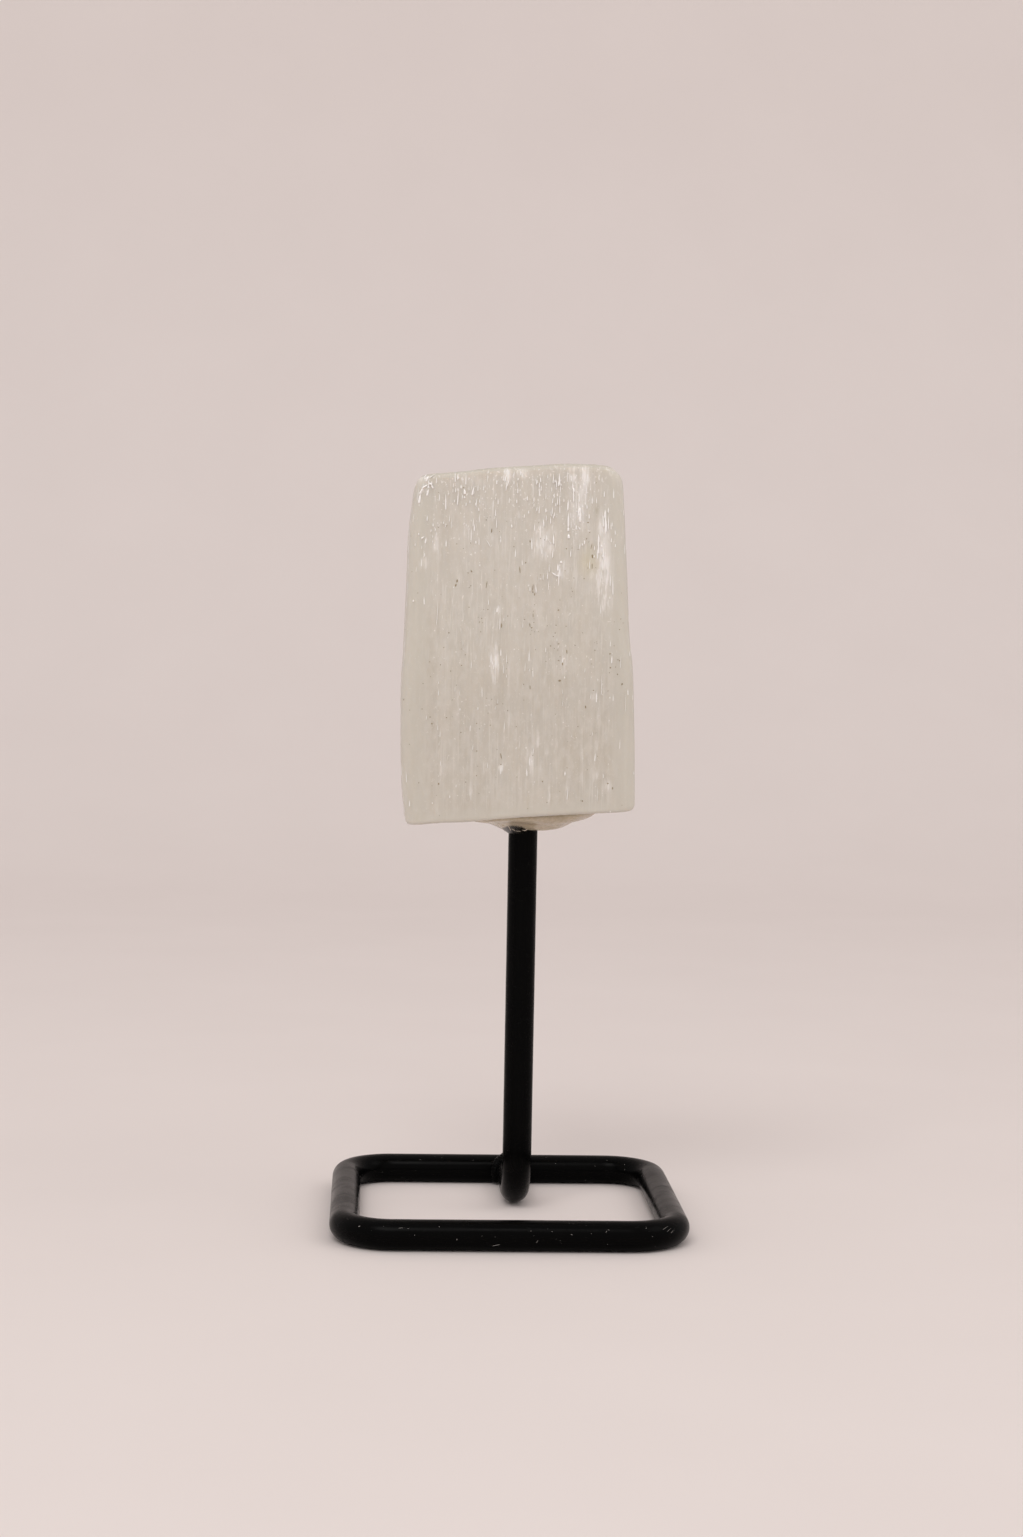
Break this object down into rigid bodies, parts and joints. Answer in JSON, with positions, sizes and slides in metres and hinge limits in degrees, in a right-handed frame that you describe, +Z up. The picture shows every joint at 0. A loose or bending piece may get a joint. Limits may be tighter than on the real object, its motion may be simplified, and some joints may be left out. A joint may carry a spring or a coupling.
{
  "type": "selenite crystal on stand",
  "caption": "Fibrous selenite block with sawn ends, glued on the upright of a black round-bar stand with a square base loop.",
  "frame": {"origin": "on the ground at the middle of the square base loop", "axes": "+Z up along the post, -Y the front that the foot of the post points away from, +X to the right seen from the front"},
  "size_m": [0.0594, 0.0594, 0.1279],
  "materials": {
    "black_coat": "satin black coating on round steel bar",
    "glue": "cloudy set glue with a soft gloss",
    "selenite": "silky translucent fibres with pearly patches"
  },
  "bodies": {
    "root": {"base_loop": "black_coat", "post": "black_coat", "weld_bead": "black_coat", "glue": "glue", "crystal": "selenite"}
  },
  "joints": []
}
